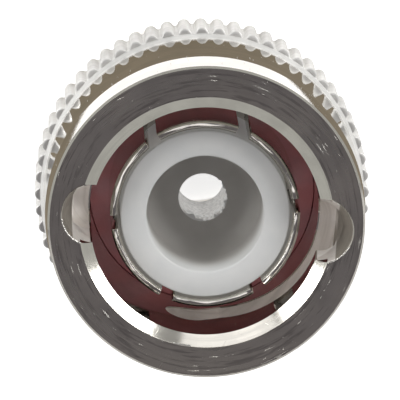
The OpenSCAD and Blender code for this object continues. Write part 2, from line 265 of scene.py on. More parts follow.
# Painted shade: darker whites for the socket's deeper walls and floor
PTFE_PAINTED_SHADES = ((0.5, 0.485, 0.46), (0.54, 0.525, 0.5))
PTFE_ROUGH = (0.38, 0.5)
PTFE_CLOUD = 1.2 * MM
PTFE_RING_PITCH = 0.05 * MM
PTFE_RING_ARC = 0.8
PTFE_RING_DEPTH = 0.006 * MM
PTFE_RING_STRENGTH = 0.5
PTFE_CRUMB = 0.12 * MM
PTFE_CRUMB_RANGE = (0.4, 0.6)
PTFE_CRUMB_DEPTH = 0.04 * MM
PTFE_CRUMB_STRENGTH = 0.6
# Painted light: the hole's wall and the outside glow, standing in for light through the thin walls
PTFE_PAINTED_LIGHT_COLOUR = (1, 0.985, 0.97)
PTFE_HOLE_PAINTED_LIGHT = (0.08, 0.26)
PTFE_SIDE_PAINTED_LIGHT = 0.1

# Studio. Angles are in degrees, and brightness is radiance: 1 shows as white.
FLOOR_SIZE = 4000 * MM
FLOOR_CLOUD = 30 * MM
FLOOR_COLOURS = ((0.86, 0.86, 0.86), (0.9, 0.9, 0.9))
FLOOR_ROUGH = 0.7
FLOOR_GLOW = 0.78
FLOOR_FAR_GLOW = 0.1
FLOOR_FADE = (25 * MM, 90 * MM)
RING_CARD_RADII = (5.5 * MM, 12.3 * MM)
RING_CARD_COLOUR = (0.25, 0.21, 0.153)
RING_CARD_CLOUD = 6 * MM
RING_CARD_DIM = 0.9
RING_CARD_STEPS = 96
RING_CARD_LIFT = 0.02 * MM
WALL_COLOUR = (0.54, 0.55, 0.53)
WALL_TOP = 28
CEILING_COLOUR = (0.15, 0.14, 0.148)
CEILING_EDGE = 50
LIGHT_AWAY = 1000 * MM


# ------------------------------------------------------------------ node graphs

class Graph:
    """A material's node tree, with one short call for each kind of node that is used here."""

    def __init__(self, name):
        self.material = bpy.data.materials.new(name)
        self.material.use_nodes = True
        self.tree = self.material.node_tree
        self.tree.nodes.clear()
        self.shader = self.tree.nodes.new("ShaderNodeBsdfPrincipled")
        output = self.tree.nodes.new("ShaderNodeOutputMaterial")
        self.link(self.shader.outputs["BSDF"], output.inputs["Surface"])
        coordinates = self.tree.nodes.new("ShaderNodeTexCoord")
        self.place = coordinates.outputs["Object"]

    def link(self, source, target):
        self.tree.links.new(source, target)

    def feed(self, socket, value):
        """Sets a socket to a number or colour, or links another node's output to it."""
        if isinstance(value, bpy.types.NodeSocket):
            self.link(value, socket)
        elif socket.type == "RGBA":
            socket.default_value = (*value, 1)
        else:
            socket.default_value = value

    def math(self, operation, a, b=0.0):
        node = self.tree.nodes.new("ShaderNodeMath")
        node.operation = operation
        for socket, value in zip(node.inputs, (a, b)):
            self.feed(socket, value)
        return node.outputs[0]

    def scaled(self, vector, scale):
        node = self.tree.nodes.new("ShaderNodeMapping")
        self.link(vector, node.inputs["Vector"])
        node.inputs["Scale"].default_value = scale
        return node.outputs[0]

    def turned(self, vector, angles):
        node = self.tree.nodes.new("ShaderNodeMapping")
        self.link(vector, node.inputs["Vector"])
        node.inputs["Rotation"].default_value = angles
        return node.outputs[0]

    def vector(self, x, y, z):
        node = self.tree.nodes.new("ShaderNodeCombineXYZ")
        for socket, value in zip(node.inputs, (x, y, z)):
            self.feed(socket, value)
        return node.outputs[0]

    def parts(self, vector):
        node = self.tree.nodes.new("ShaderNodeSeparateXYZ")
        self.link(vector, node.inputs[0])
        return node.outputs

    def noise(self, vector, scale, detail=2.0, roughness=0.5):
        node = self.tree.nodes.new("ShaderNodeTexNoise")
        self.link(vector, node.inputs["Vector"])
        node.inputs["Scale"].default_value = scale
        node.inputs["Detail"].default_value = detail
        node.inputs["Roughness"].default_value = roughness
        return node.outputs["Fac"]

    def ramp(self, value, low, high, start=0.0, end=1.0):
        """Maps value's range low..high to start..end, and holds it beyond both ends."""
        node = self.tree.nodes.new("ShaderNodeMapRange")
        node.interpolation_type = "SMOOTHSTEP"
        for name, given in (("Value", value), ("From Min", low), ("From Max", high),
                            ("To Min", start), ("To Max", end)):
            self.feed(node.inputs[name], given)
        return node.outputs["Result"]

    def mix(self, factor, a, b):
        node = self.tree.nodes.new("ShaderNodeMix")
        node.data_type = "RGBA"
        for index, value in ((0, factor), (6, a), (7, b)):
            self.feed(node.inputs[index], value)
        return node.outputs[2]

    def bump(self, height, distance, strength=1.0, under=None):
        node = self.tree.nodes.new("ShaderNodeBump")
        node.inputs["Strength"].default_value = strength
        node.inputs["Distance"].default_value = distance
        self.link(height, node.inputs["Height"])
        if under is not None:
            self.link(under, node.inputs["Normal"])
        return node.outputs["Normal"]

    def finish(self, **sockets):
        """Sets the shader's named sockets and returns the material."""
        for name, value in sockets.items():
            self.feed(self.shader.inputs[name.replace("_", " ")], value)
        return self.material


def axis_terms(g):
    """The radius from the axis, the height, and the direction from the axis as two numbers."""
    x, y, z = g.parts(g.place)
    squares = g.math("ADD", g.math("MULTIPLY", x, x), g.math("MULTIPLY", y, y))
    radius = g.math("SQRT", squares)
    return radius, z, g.math("DIVIDE", x, radius), g.math("DIVIDE", y, radius)


def turning_marks(g, pitch, arc):
    """Fine rings that a lathe tool leaves. Each fades in and out over about arc radians."""
    radius, z, across, along = axis_terms(g)
    side = 1 / arc
    rings = g.vector(g.math("MULTIPLY", g.math("ADD", radius, z), 1 / pitch),
                     g.math("MULTIPLY", across, side), g.math("MULTIPLY", along, side))
    return g.noise(rings, 1.0, detail=3.0, roughness=0.65)


def scratches(g, length, width, angle):
    """Sparse straight scratches in one direction, as a mask."""
    aimed = g.turned(g.place, (0, 0, angle))
    line = g.noise(g.scaled(aimed, (1 / length, 1 / width, 1 / length)), 1.0, detail=1.0)
    return g.ramp(line, *SCRATCH_COVER)


def clouds(g, size, detail=3.0, start=0.0, end=1.0):
    """Soft patches of about the given size, whose values run from start to end."""
    return g.ramp(g.noise(g.place, 1 / size, detail=detail), *CLOUD_RANGE, start, end)


# -------------------------------------------------------------------- materials

def band(g, value, low, high, soft):
    """1 where value lies between low and high, 0 elsewhere, with soft edges."""
    rise = g.ramp(value, low - soft, low + soft)
    fall = g.ramp(value, high - soft, high + soft, 1.0, 0.0)
    return g.math("MULTIPLY", rise, fall)


def metal_coat(g, colour, rough):
    """Shared look of nickel-plated turned brass. rough is a number or a socket."""
    marks = turning_marks(g, FINE_PITCH, FINE_ARC)
    broad = turning_marks(g, BROAD_PITCH, BROAD_ARC)
    haze = g.noise(g.place, 1 / HAZE_SIZE, detail=4.0)
    scratched = g.math("MAXIMUM", *(scratches(g, *scratch) for scratch in SCRATCHES))
    shade = g.mix(SHADE, colour, (0, 0, 0))
    tint = g.mix(g.ramp(haze, *HAZE_RANGE), colour, shade)
    ringed = g.mix(g.ramp(broad, *BROAD_RANGE), tint, shade)
    uneven = g.math("MULTIPLY", rough, g.ramp(broad, *CLOUD_RANGE, *BROAD_ROUGH))
    roughness = g.math("ADD", uneven, g.math("MULTIPLY", scratched, SCRATCH_ROUGH))
    rings = g.bump(marks, MARK_DEPTH, MARK_STRENGTH)
    normal = g.bump(scratched, SCRATCH_DEPTH, MARK_STRENGTH, under=rings)
    return ringed, roughness, normal


def nickel(name, colour, rough):
    g = Graph(name)
    tint, roughness, normal = metal_coat(g, colour, rough)
    return g.finish(Base_Color=tint, Metallic=1.0, Roughness=roughness, Normal=normal)


def nut_zones(g):
    """Masks of the nut's turned face, grip, mouth bevel, milled cams and the cams' walls."""
    radius, z, _, _ = axis_terms(g)
    under_face = FACE.z - 0.01 * MM
    face = band(g, z, under_face, FACE.z + MM, soft=0.005 * MM)
    knurl = band(g, radius, BARREL_R + 0.08 * MM, KNURL_ROOT_R + MM, soft=0.02 * MM)
    round_mouth = band(g, radius, BORE_R - 0.1 * MM, BORE_R + MOUTH_BEVEL_W, soft=0.01 * MM)
    bevel_depth = band(g, z, FACE.z - MOUTH_BEVEL_H, under_face, soft=0.003 * MM)
    bevel = g.math("MULTIPLY", round_mouth, bevel_depth)
    behind_bore = band(g, radius, BORE_R + 0.06 * MM, BARREL_R - 0.3 * MM, soft=0.02 * MM)
    cam_depth = band(g, z, FACE.z - BARREL_LEN, FACE.z - 0.03 * MM, soft=0.01 * MM)
    milled = g.math("MULTIPLY", behind_bore, cam_depth)
    milled = g.math("MULTIPLY", milled, g.math("SUBTRACT", 1.0, bevel))
    past_floor = g.ramp(radius, CAM_FLOOR_R - 0.01 * MM, CAM_FLOOR_R + 0.03 * MM)
    return face, knurl, bevel, milled, g.math("MULTIPLY", milled, past_floor)


def worn_face(g, tint, face):
    """The turned face's colour with its arcs, strokes and warm patches, warmer and lighter towards its
    −y side, and a mask of its nicks.
    """
    arcs = g.math("MULTIPLY", g.ramp(turning_marks(g, ARC_PITCH, ARC_LEN), *ARC_RANGE), face)
    strokes = turning_marks(g, STROKE_PITCH, STROKE_LEN)
    patches = g.ramp(g.noise(g.place, 1 / PATCH_SIZE, detail=3.0), *PATCH_RANGE)
    light = g.math("MULTIPLY", g.math("MULTIPLY", g.ramp(strokes, *LIGHT_RANGE), patches), face)
    dark = g.math("MULTIPLY", g.math("MULTIPLY", g.ramp(strokes, *DARK_RANGE), patches), face)
    hazes = g.ramp(g.noise(g.place, 1 / WARM_SIZE, detail=3.0), *WARM_RANGE)
    _, y, _ = g.parts(g.place)
    # Warmer and lighter towards the face's −y side
    low_side = g.ramp(y, *WARM_SIDE)
    warm = g.math("MAXIMUM", g.math("MULTIPLY", hazes, WARM_PATCHES), low_side)
    warm = g.math("MULTIPLY", warm, face)
    for mask, share, colour in ((warm, WARM_SHARE, WARM_COLOUR), (arcs, ARC_SHARE, ARC_COLOUR),
                                (dark, DARK_SHARE, DARK_COLOUR),
                                (light, LIGHT_SHARE, LIGHT_COLOUR)):
        tint = g.mix(g.math("MULTIPLY", mask, share), tint, colour)
    nicks = g.ramp(g.noise(g.place, 1 / NICK_SIZE, detail=1.0), *NICK_RANGE)
    return tint, g.math("MULTIPLY", g.math("MAXIMUM", light, nicks), face)


def nut_nickel():
    """The nut's plating: satin on the turned face, bright on the barrel and dull in milled cams, whose
    ledges are painted lighter and glow as painted light, and whose walls are painted darker as painted
    shade.
    """
    g = Graph("nut_nickel")
    face, knurl, bevel, milled, walls = nut_zones(g)
    rough = BRIGHT_ROUGH
    for zone, zone_rough in ((face, FACE_ROUGH), (knurl, KNURL_ROUGH),
                             (milled, MILLED_ROUGH), (bevel, BEVEL_ROUGH)):
        rough = g.math("ADD", rough, g.math("MULTIPLY", zone, zone_rough - BRIGHT_ROUGH))
    # Painted light and shade: the cams' ledges take a brightened nickel colour, and their walls a
    # darker brown one
    colour = g.mix(milled, NICKEL_COLOUR, g.mix(walls, MILLED_PAINTED_LIGHT_COLOUR, WALL_PAINTED_SHADE))
    colour = g.mix(knurl, colour, KNURL_COLOUR)
    tint, roughness, normal = metal_coat(g, colour, rough)
    tint, struck = worn_face(g, tint, face)
    roughness = g.math("ADD", roughness, g.math("MULTIPLY", struck, NICK_ROUGH))
    normal = g.bump(struck, NICK_DEPTH, NICK_STRENGTH, under=normal)
    # The ledges also glow a little: painted light
    painted_light_ledges = g.math("MULTIPLY", milled, g.math("SUBTRACT", 1.0, walls))
    return g.finish(Base_Color=tint, Metallic=1.0, Roughness=roughness, Normal=normal,
                    Emission_Color=LEDGE_PAINTED_LIGHT_COLOUR,
                    Emission_Strength=g.math("MULTIPLY", painted_light_ledges, LEDGE_PAINTED_LIGHT))


def rubber(name, colours, roughness):
    """Cloudy, finely grained rubber, between two colours and two roughnesses."""
    g = Graph(name)
    grain = g.noise(g.place, 1 / RUBBER_GRAIN)
    return g.finish(Base_Color=g.mix(clouds(g, RUBBER_CLOUD), *colours),
                    Roughness=clouds(g, RUBBER_CLOUD, 3.0, *roughness),
                    Normal=g.bump(grain, RUBBER_DEPTH, RUBBER_STRENGTH))


def white_plastic():
    """White PTFE with painted light and shade: the hole's wall and the outside glow a little, standing
    in for light through its thin walls, and the socket is painted darker with depth.
    """
    g = Graph("white_plastic")
    radius, z, _, _ = axis_terms(g)
    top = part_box("front_insulator")[1].z
    floor = top - SOCKET_LEN
    white = g.mix(clouds(g, PTFE_CLOUD), *PTFE_WHITES)
    painted_shade = g.mix(clouds(g, PTFE_CLOUD), *PTFE_PAINTED_SHADES)
    in_socket = band(g, radius, HOLE_R, SOCKET_R + SOFT_EDGE, soft=0.02 * MM)
    # Painted shade: the socket is painted darker deeper down
    socket = g.math("MULTIPLY", in_socket, g.ramp(z, top - 2.2 * MM, top - 0.3 * MM, 1.0, 0.0))
    in_hole = band(g, radius, 0, HOLE_R + 0.03 * MM, soft=0.01 * MM)
    hole = g.math("MULTIPLY", in_hole,
                  band(g, z, floor - HOLE_LEN, floor - 0.11 * MM, soft=0.02 * MM))
    # Painted light: the outside glows a little below its top edge
    outside = band(g, radius, INSULATOR_R - 0.02 * MM, INSULATOR_R + MM, soft=0.01 * MM)
    side = g.math("MULTIPLY", outside, band(g, z, top - 6 * MM, top - 0.15 * MM, soft=0.05 * MM))
    crumbs = g.noise(g.place, 1 / PTFE_CRUMB, detail=3.0)
    # Painted light: the hole's wall glows, unevenly with the crumbs
    lit = g.math("MULTIPLY", hole, g.ramp(crumbs, *PTFE_CRUMB_RANGE, *PTFE_HOLE_PAINTED_LIGHT))
    rings = turning_marks(g, PTFE_RING_PITCH, PTFE_RING_ARC)
    fine = g.bump(rings, PTFE_RING_DEPTH, PTFE_RING_STRENGTH)
    torn = g.bump(g.math("MULTIPLY", crumbs, hole), PTFE_CRUMB_DEPTH, PTFE_CRUMB_STRENGTH,
                  under=fine)
    return g.finish(Base_Color=g.mix(socket, white, painted_shade), Normal=torn,
                    Roughness=clouds(g, PTFE_CLOUD, 3.0, *PTFE_ROUGH),
                    Emission_Color=PTFE_PAINTED_LIGHT_COLOUR,
                    Emission_Strength=g.math("ADD", lit, g.math("MULTIPLY", side, PTFE_SIDE_PAINTED_LIGHT)))


def dress(node, material):
    """Gives a CAD node its finish, and leaves its mesh alone."""
    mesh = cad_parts[node].data
    mesh.materials.clear()
    mesh.materials.append(material)


# ----------------------------------------------------------------------- pieces

def new_object(name, data):
    made = bpy.data.objects.new(name, data)
    bpy.context.scene.collection.objects.link(made)
    return made


def apply_modifiers(piece):
    """Turns the piece's modifiers into its mesh."""
    graph = bpy.context.evaluated_depsgraph_get()
    mesh = bpy.data.meshes.new_from_object(piece.evaluated_get(graph))
    piece.modifiers.clear()
    piece.data = mesh


def welded(node):
    """A copy of a node's mesh with its faces joined and its flat faces in one piece each."""
    mesh = bpy.data.meshes.new(node + "_dressed")
    shape = bmesh.new()
    shape.from_mesh(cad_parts[node].data)
    bmesh.ops.remove_doubles(shape, verts=shape.verts, dist=WELD)
    bmesh.ops.dissolve_limit(shape, angle_limit=FLAT_WITHIN, verts=shape.verts,
                             edges=shape.edges, use_dissolve_boundaries=False)
    shape.to_mesh(mesh)
    shape.free()
    return mesh


def polar(radius, angle, z):
    return (radius * math.cos(angle), radius * math.sin(angle), z)


def spun(x, y, z, angle):
    """The point (x, y, z) turned round the axis."""
    return (x * math.cos(angle) - y * math.sin(angle),
            x * math.sin(angle) + y * math.cos(angle), z)


def turns(steps):
    """Angles of evenly spaced points on a full circle."""
    return [2 * math.pi * i / steps for i in range(steps)]


def lathe(name, outline, steps):
    """A closed outline of (radius, height) points turned round the axis."""
    count = len(outline)
    corners = [polar(r, turn, z) for turn in turns(steps) for r, z in outline]
    faces = [(i * count + j, i * count + (j + 1) % count,
              (i + 1) % steps * count + (j + 1) % count, (i + 1) % steps * count + j)
             for i in range(steps) for j in range(count)]
    return solid(name, corners, faces)


def loft(name, rings):
    """A closed solid through rings of the same number of points, with flat ends."""
    count = len(rings[0])
    corners = [point for ring in rings for point in ring]
    faces = [(i * count + j, i * count + (j + 1) % count,
              (i + 1) * count + (j + 1) % count, (i + 1) * count + j)
             for i in range(len(rings) - 1) for j in range(count)]
    faces.append(tuple(range(count)))
    faces.append(tuple(range(len(corners) - count, len(corners))))
    return solid(name, corners, faces)


def ring_solid(name, rings):
    """A closed solid round the axis, whose last ring of points joins its first."""
    steps = len(rings[0])
    corners = [point for ring in rings for point in ring]
    faces = []
    for i in range(len(rings)):
        low, high = i * steps, (i + 1) % len(rings) * steps
        faces += [(low + j, low + (j + 1) % steps, high + (j + 1) % steps, high + j)
                  for j in range(steps)]
    return solid(name, corners, faces)


def solid(name, corners, faces):
    """A mesh whose faces all look outward."""
    mesh = bpy.data.meshes.new(name)
    mesh.from_pydata(corners, [], faces)
    shape = bmesh.new()
    shape.from_mesh(mesh)
    bmesh.ops.recalc_face_normals(shape, faces=shape.faces)
    shape.to_mesh(mesh)
    shape.free()
    return mesh


def cut_away(piece, cutters):
    """Subtracts the cutters' meshes from the piece."""
    for mesh in cutters:
        tool = new_object("tool", mesh)
        cut = piece.modifiers.new("cut", "BOOLEAN")
        cut.operation = "DIFFERENCE"
        cut.solver = "EXACT"
        cut.object = tool
        apply_modifiers(piece)
        bpy.data.objects.remove(tool)


def finish_piece(piece, body, material):
    """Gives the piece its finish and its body."""
    piece.data.materials.clear()
    piece.data.materials.append(material)
    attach(piece, body)


def shade(mesh, sharp=EDGE_ANGLE):
    """Smooth, but for edges that turn by more than the sharp angle."""
    mesh.shade_smooth()
    mesh.set_sharp_from_angle(angle=sharp)


def lies_on(outline, r, z):
    """True where the point (r, z) is on one of the outline's straight runs."""
    point = Vector((r, z))
    for start, end in zip(outline, outline[1:] + outline[:1]):
        first = Vector(start)
        run = Vector(end) - first
        share = min(1, max(0, (point - first).dot(run) / run.length_squared))
        if (first + run * share - point).length < TURNED_WITHIN:
            return True
    return False


def shade_turned(mesh, outline):
    """Smooth by angle, with exact normals on the turned surfaces so that they mirror cleanly."""
    shade(mesh)
    normals = []
    for face in mesh.polygons:
        centre, normal = face.center, face.normal
        r = math.hypot(centre.x, centre.y)
        away = (normal.x * centre.x + normal.y * centre.y) / r
        sideways = (normal.y * centre.x - normal.x * centre.y) / r
        turned = abs(sideways) < TURNED_SIDEWAYS and lies_on(outline, r, centre.z)
        for index in face.vertices:
            corner = mesh.vertices[index].co
            reach = math.hypot(corner.x, corner.y)
            exact = (away * corner.x / reach, away * corner.y / reach, normal.z)
            normals.append(exact if turned else (0, 0, 0))
    mesh.normals_split_custom_set(normals)


# -------------------------------------------------------------- the coupling nut

def barrel_flare():
    """The barrel's hollow run from its front part out to the grip's collar."""
    end = BARREL_LEN - COLLAR_LEN
    shares = [i / FLARE_STEPS for i in range(FLARE_STEPS + 1)]
    return [(BARREL_R + FLARE_GAIN * s ** 2, FACE.z - FLARE_FROM - (end - FLARE_FROM) * s)
            for s in shares]


def nut_outline():
    """The nut's turned section: bevelled face, slightly tapered nose, barrel, skirt, rib, bore."""
    top, foot = NUT_HIGH.z, NUT_LOW.z
    rib_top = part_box("thrust_washer")[0].z
    rib_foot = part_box("retaining_ring")[1].z + RING_ROOM
    collar = top - BARREL_LEN
    grip_foot = collar - GRIP_LEN
    return [
        (BORE_R + MOUTH_BEVEL_W, top),
        (NOSE_R - RIM_BEVEL, top),
        (NOSE_R, top - RIM_BEVEL),
        (BARREL_R, top - NOSE_LEN),
        *barrel_flare(),
        (COLLAR_R, collar + COLLAR_TOP),
        (COLLAR_R - COLLAR_GROOVE, collar + COLLAR_DIP),
        (COLLAR_R + COLLAR_GROOVE, collar + COLLAR_STEP),
        (COLLAR_R + COLLAR_GROOVE, collar - COLLAR_LEN),
        (BARREL_R, collar - COLLAR_LEN),
        (BARREL_R, collar - GRIP_LEN / 2),
        (SKIRT_R, collar - GRIP_LEN / 2 - SKIRT_STEP),
        (SKIRT_R, grip_foot - RIM_BEVEL),
        (SKIRT_END_R, foot + RIM_BEVEL),
        (SKIRT_END_R - RIM_BEVEL, foot),
        (RING_POCKET_R, foot),
        (RING_POCKET_R, rib_foot),
        (RIB_R, rib_foot),
        (RIB_R, rib_top),
        (BORE_R, rib_top),
        (BORE_R, top - MOUTH_BEVEL_H),
    ]


def notch_cutter(angle, reach):
    """Cone-shaped entry notch: widest at the face, down to the cam groove's centre line."""
    taper = (reach - CAM_FLOOR_R) / NOTCH_LEN
    rings = []
    for depth, wider in ((-CUT_ABOVE, CUT_ABOVE + RIM_CHAMFER), (RIM_CHAMFER, 0), (NOTCH_LEN, 0)):
        radius = reach - NOTCH_OFFSET - max(depth, 0) * taper + wider
        rings.append([spun(NOTCH_OFFSET + radius * math.cos(turn), radius * math.sin(turn),
                           FACE.z - depth, angle) for turn in turns(CUT_STEPS)])
    return loft("notch_cutter", rings)


def cam_centre(share):
    """Depth of the groove's centre line: level under the notch, then a climb, then the detent."""
    if share < CAM_LEVEL:
        return CAM_START
    if share < CAM_CLIMBED:
        climb = (share - CAM_LEVEL) / (CAM_CLIMBED - CAM_LEVEL)
        return CAM_START + (CAM_DEEPEST - CAM_START) * climb
    return CAM_DEEPEST - CAM_DETENT * (share - CAM_CLIMBED) / (1 - CAM_CLIMBED)


def corner_round(reach, half, radius):
    """Points (radius from the axis, height) round one corner of a ball-nosed cut."""
    steps = [math.pi / 2 * i / CUT_CORNER_STEPS for i in range(CUT_CORNER_STEPS + 1)]
    return [(reach - radius + radius * math.sin(t), half - radius + radius * math.cos(t))
            for t in steps]


def cam_cutter(angle):
    """Blind helical groove with rounded corners, from the notch clockwise to the lock pocket."""
    outline = [(CUT_FROM_R, CAM_HALF)] + corner_round(CAM_FLOOR_R, CAM_HALF, CAM_CORNER)
    outline += [(r, -height) for r, height in reversed(outline)]
    rings = []
    for i in range(CAM_STEPS + 1):
        share = i / CAM_STEPS
        turn = angle - CAM_TURN * share
        z = FACE.z - cam_centre(share)
        rings.append([polar(r, turn, z + height) for r, height in outline])
    return loft("cam_cutter", rings)


def round_pocket(angle, depth, radius, reach):
    """Round blind pocket bored outward from the axis with a ball-nosed cutter."""
    rings = []
    for out, wide in [(CUT_FROM_R, radius)] + corner_round(reach, radius, CAM_CORNER):
        rings.append([spun(out, wide * math.cos(turn), FACE.z - depth + wide * math.sin(turn), angle)
                      for turn in turns(CUT_STEPS)])
    return loft("round_pocket", rings)


def make_nut(material):
    outline = nut_outline()
    nut = new_object("nut_shell", lathe("nut_shell", outline, NUT_STEPS))
    cutters = []
    for angle, reach in ((NOTCH_ANGLE, NOTCH_REACH_RIGHT),
                         (NOTCH_ANGLE + math.pi, NOTCH_REACH_LEFT)):
        cutters.append(notch_cutter(angle, reach))
        cutters.append(round_pocket(angle, CAM_START, CAM_HALF + CUT_EASE, CAM_FLOOR_R + CUT_EASE))
        cutters.append(cam_cutter(angle))
        cutters.append(round_pocket(angle - CAM_TURN, cam_centre(1), LOCK_R, CAM_FLOOR_R + LOCK_CUT))
    cut_away(nut, cutters)
    cam_floor = [(CAM_FLOOR_R, FACE.z), (CAM_FLOOR_R, FACE.z - BARREL_LEN)]
    shade_turned(nut.data, outline + cam_floor)
    finish_piece(nut, "coupling", material)
    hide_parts("coupling_nut")


def make_grip(material):
    grip = new_object("nut_grip", grip_mesh())
    shade(grip.data)
    finish_piece(grip, "coupling", material)


def tooth_radius(angle):
    """Radius of the grip's outline: rounded teeth on a root circle."""
    pitch = 2 * math.pi / GRIP_TEETH
    off = (angle + pitch / 2) % pitch - pitch / 2
    side = KNURL_ROOT_R * off
    centre = KNURL_R - TOOTH_R
    if abs(side) >= TOOTH_R:
        return KNURL_ROOT_R
    return max(KNURL_ROOT_R, centre + math.sqrt(TOOTH_R ** 2 - side ** 2))


def grip_mesh():
    """Band of rounded teeth, whose ends roll over to the root circle."""
    top = FACE.z - BARREL_LEN
    foot = top - GRIP_LEN
    quarter = [math.pi / 2 * i / TOOTH_END_STEPS for i in range(TOOTH_END_STEPS + 1)]
    rise = [(1 - math.cos(t), math.sin(t)) for t in quarter]
    heights = [(foot + TOOTH_SOFT * along, up) for along, up in rise]
    heights += [(top - TOOTH_SOFT * along, up) for along, up in reversed(rise)]
    angles = turns(GRIP_TEETH * TOOTH_STEPS)
    rings = []
    for z, up in heights:
        rings.append([polar(KNURL_ROOT_R + (tooth_radius(angle) - KNURL_ROOT_R) * up, angle, z)
                      for angle in angles])
    for z in (top, foot):
        rings.append([polar(BARREL_R - GRIP_SINK, angle, z) for angle in angles])
    return ring_solid("nut_grip", rings)


def make_gasket(material):
    """The front gasket, which fills the nut's bore so that no gap shows round it."""
    low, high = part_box("front_gasket")
    side = GASKET_R - GASKET_EDGE
    outline = [(GASKET_BORE_R, low.z), (side, low.z), (GASKET_R, low.z + GASKET_EDGE),
               (GASKET_R, high.z - GASKET_EDGE), (side, high.z), (GASKET_BORE_R, high.z)]
    piece = new_object("gasket_dressed", lathe("gasket_dressed", outline, GASKET_STEPS))
    shade_turned(piece.data, outline)
    finish_piece(piece, "plug", material)
    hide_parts("front_gasket")


def make_wave_washer(material):
    """The spring, which the nut presses flatter as it slides forward; here it keeps its imported
    shape.
    """
    piece = new_object("wave_washer_dressed", welded("wave_washer"))
    shade(piece.data)
    finish_piece(piece, "plug", material)
    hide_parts("wave_washer")
    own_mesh(piece)


# ----------------------------------------------------------------- the insulator

def hole_radius(angle, rag):
    """The contact hole's radius: torn on its lower right side, with one chip out of its rim."""
    torn = max(0.0, math.cos(angle - TEAR_ANGLE))
    waves = sum(size * math.sin(number * angle + phase) for size, number, phase in TEAR_WAVES)
    off = (angle - CHIP_ANGLE + math.pi) % (2 * math.pi) - math.pi
    chip = CHIP_DEPTH * math.exp(-(off / CHIP_WIDTH) ** 2)
    return HOLE_R + rag * (torn ** 0.5 * (waves - TEAR_INSET) * TEAR_DEPTH + chip)


def insulator_rings():
    """(radius, height, raggedness) of each ring, from the foot up, over the face and down the hole."""
    foot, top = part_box("front_insulator")
    floor = top.z - SOCKET_LEN
    third = SOFT_EDGE / 3
    rings = [(SPIGOT_R, foot.z, 0), (SPIGOT_R, SHOULDER_Z, 0), (INSULATOR_R, SHOULDER_Z, 0),
             (INSULATOR_R, top.z - SOFT_EDGE, 0), (INSULATOR_R - third, top.z - third, 0),
             (INSULATOR_R - SOFT_EDGE, top.z, 0), (SOCKET_R + SOFT_EDGE, top.z, 0),
             (SOCKET_R + third, top.z - third, 0), (SOCKET_R, top.z - SOFT_EDGE, 0)]
    for i in range(SOCKET_FILLET_STEPS + 1):
        turn = math.pi / 2 * i / SOCKET_FILLET_STEPS
        rings.append((SOCKET_R - SOCKET_FILLET * (1 - math.cos(turn)),
                      floor + SOCKET_FILLET * (1 - math.sin(turn)), 0))
    rings.append((HOLE_R + HOLE_LEAD, floor, HOLE_LEAD_RAG))
    rings += [(HOLE_R, floor - depth, rag) for depth, rag in HOLE_RAGS]
    rings += [(HOLE_R, floor - HOLE_LEN, 0), (RECESS_R, floor - HOLE_LEN, 0), (RECESS_R, foot.z, 0)]
    return rings


def make_insulator(material):
    rings = [[polar(radius + hole_radius(angle, rag) - HOLE_R, angle, z)
              for angle in turns(INSULATOR_STEPS)] for radius, z, rag in insulator_rings()]
    piece = new_object("insulator_dressed", ring_solid("insulator_dressed", rings))
    shade(piece.data, INSULATOR_EDGE_ANGLE)
    finish_piece(piece, "plug", material)
    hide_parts("front_insulator")


# ------------------------------------------------------------- burrs and edges

def burr(angle, offset, radius, start, end, thick, chance):
    """Rings of points along an uneven thread of metal on a circle in the nut's face."""
    steps = max(BURR_LEAST_STEPS, int(radius * math.radians(end - start) / BURR_STEP))
    rings = []
    for i in range(steps + 1):
        turn = math.radians(start + (end - start) * i / steps)
        size = chance.uniform(*thick)
        lean = chance.uniform(-BURR_LEAN, BURR_LEAN) * (size - thick[0])
        ring = []
        for around in turns(BURR_SIDES):
            r = radius + lean + size * math.cos(around) - BURR_INSET * size
            z = FACE.z - BURR_SINK * size + size * math.sin(around)
            ring.append(spun(offset + r * math.cos(turn), r * math.sin(turn), z, angle))
        rings.append(ring)
    return rings


def make_burrs(material):
    """Thin bright rims round the notches, ragged where the cutter left them, and nicks on the face."""
    chance = random.Random(BURR_SEED)
    left = NOTCH_ANGLE + math.pi
    right_rim = NOTCH_REACH_RIGHT - NOTCH_OFFSET + RIM_CHAMFER
    left_rim = NOTCH_REACH_LEFT - NOTCH_OFFSET + RIM_CHAMFER
    outer, mouth = NOSE_R - RIM_BEVEL, BORE_R + MOUTH_BEVEL_W
    # Each thread: its circle's angle, offset and radius, the arc's ends in degrees, thickness
    threads = [(NOTCH_ANGLE, NOTCH_OFFSET, right_rim, -26, 71, BURR_FINE),
               (NOTCH_ANGLE, NOTCH_OFFSET, right_rim, -71, -24, BURR_RAGGED),
               (left, NOTCH_OFFSET, left_rim, -71, 14, BURR_FINE),
               (left, NOTCH_OFFSET, left_rim, 12, 71, BURR_RAGGED),
               (0, 0, outer, 76, 79, BURR_RAGGED), (0, 0, outer, 118, 121, BURR_RAGGED),
               (0, 0, mouth, -105, -97, BURR_RAGGED), (0, 0, mouth, 226, 229, BURR_RAGGED)]
    made = bmesh.new()
    for thread in threads:
        part = loft("burr", burr(*thread, chance))
        made.from_mesh(part)
        bpy.data.meshes.remove(part)
    mesh = bpy.data.meshes.new("nut_burrs")
    made.to_mesh(mesh)
    made.free()
    piece = new_object("nut_burrs", mesh)
    piece.data.shade_smooth()
    finish_piece(piece, "coupling", material)


def make_plug_body(material):
    """The plug body again, with every sharp edge rounded as a real part's edges are."""
    piece = new_object("plug_body_dressed", welded("plug_body"))
    round_over = piece.modifiers.new("edges", "BEVEL")
    round_over.limit_method = "ANGLE"
    round_over.angle_limit = EDGE_ANGLE
    round_over.width = BODY_EDGE
    round_over.segments = BODY_EDGE_STEPS
    round_over.use_clamp_overlap = True
    even = piece.modifiers.new("normals", "WEIGHTED_NORMAL")
    even.keep_sharp = False
    apply_modifiers(piece)
    piece.data.shade_smooth()
    finish_piece(piece, "plug", material)
    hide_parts("plug_body")


# ----------------------------------------------------------------------- studio

